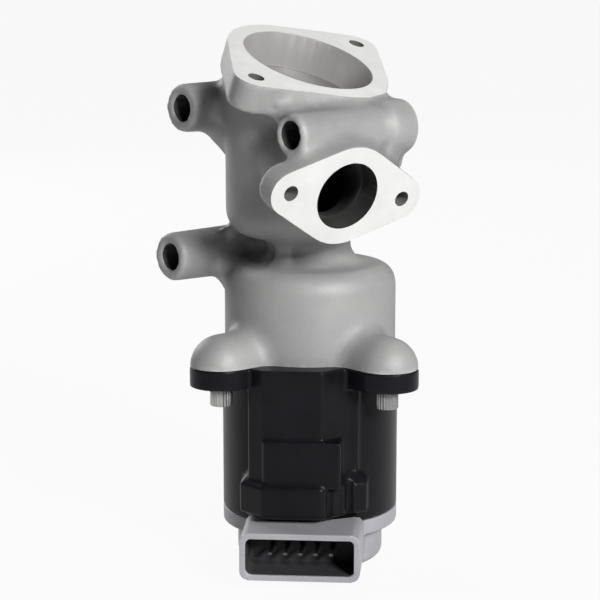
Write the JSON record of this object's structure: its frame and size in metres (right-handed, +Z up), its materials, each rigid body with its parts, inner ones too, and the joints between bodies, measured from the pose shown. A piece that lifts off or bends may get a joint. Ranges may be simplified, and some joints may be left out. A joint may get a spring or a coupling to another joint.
{
  "type": "egr valve",
  "caption": "Exhaust gas recirculation valve: cast body with a tilted outlet flange, inlet flange and bolt tubes over a cam motor that lifts its poppet, with a plug socket.",
  "frame": {"origin": "centre of the end cap's flat underside, on the valve axis", "axes": "+Z up the valve axis from the end cap to the gas flanges, -Y out of the plug socket, +X to the right seen from the socket"},
  "size_m": [0.0876, 0.1022, 0.1743],
  "materials": {
    "cast_aluminium": "sand-blasted die casting with milled faces",
    "black_plastic": "fine moulded grain",
    "grey_plastic": "smooth moulded",
    "zinc_steel": "bright zinc plate",
    "steel": "turned",
    "stem_steel": "ground, heat resisting",
    "seat_steel": "turned, heat resisting",
    "bearing_steel": "ground",
    "spring_steel": "drawn wire",
    "core_steel": "laminated",
    "bronze": "sintered",
    "copper": "enamelled winding",
    "tinned_brass": "tinned",
    "seal_rubber": "moulded",
    "seal_ptfe": "turned",
    "bobbin_plastic": "moulded",
    "board_green": "solder mask",
    "chip_black": "moulded",
    "magnet": "sintered"
  },
  "bodies": {
    "housing": {"valve_housing": "cast_aluminium", "valve_seat": "seat_steel", "stem_guide_bush": "bronze", "stem_seal": "seal_ptfe", "spring_seat_washer": "steel", "return_spring": "spring_steel", "guide_sleeve": "steel", "guide_screws": "zinc_steel", "upper_rotor_bush": "bronze", "stator_core": "core_steel", "coil_bobbins": "bobbin_plastic", "stator_coils": "copper", "bearing_plate": "steel", "lower_rotor_bush": "bronze", "motor_housing": "black_plastic", "joint_seal": "seal_rubber", "compression_limiters": "zinc_steel", "screw_washers": "zinc_steel", "motor_screws": "zinc_steel", "end_cap": "grey_plastic", "cap_seal": "seal_rubber", "connector_pins": "tinned_brass", "sensor_board": "board_green", "hall_sensor": "chip_black", "motor_terminals": "tinned_brass"},
    "rotor": {"rotor_sleeve": "steel", "rotor_core": "core_steel", "rotor_magnets": "magnet", "magnet_carrier": "bobbin_plastic", "sensor_magnet": "magnet"},
    "valve": {"valve_stem": "stem_steel", "poppet_disc": "stem_steel", "spring_retainer": "steel", "retainer_clip": "spring_steel", "cross_pin": "stem_steel", "pin_spacers": "steel"},
    "roller_right": {"cam_roller_right": "bearing_steel"},
    "roller_left": {"cam_roller_left": "bearing_steel"}
  },
  "joints": [
    {"name": "rotor_turn", "type": "hinge", "parent": "housing", "child": "rotor", "pos_m": [0, 0, 0.057], "axis": [0, 0, 1], "range_deg": [0, 80]},
    {"name": "valve_lift", "type": "slide", "parent": "housing", "child": "valve", "axis": [0, 0, 1], "range_m": [0, 0.007], "stiffness_N_per_m": 900, "springref_m": -0.008, "deforming": ["return_spring"]},
    {"name": "roller_right_spin", "type": "hinge", "parent": "valve", "child": "roller_right", "pos_m": [0.00995, 0, 0.057], "axis": [1, 0, 0], "range_deg": [0, 330]},
    {"name": "roller_left_spin", "type": "hinge", "parent": "valve", "child": "roller_left", "pos_m": [-0.00995, 0, 0.057], "axis": [1, 0, 0], "range_deg": [-330, 0]}
  ],
  "couplings": [
    {"joint": "rotor_turn", "follows": "valve_lift", "rad_per_m": 199.47},
    {"joint": "roller_right_spin", "follows": "valve_lift", "rad_per_m": 808.24},
    {"joint": "roller_left_spin", "follows": "valve_lift", "rad_per_m": -808.24}
  ]
}
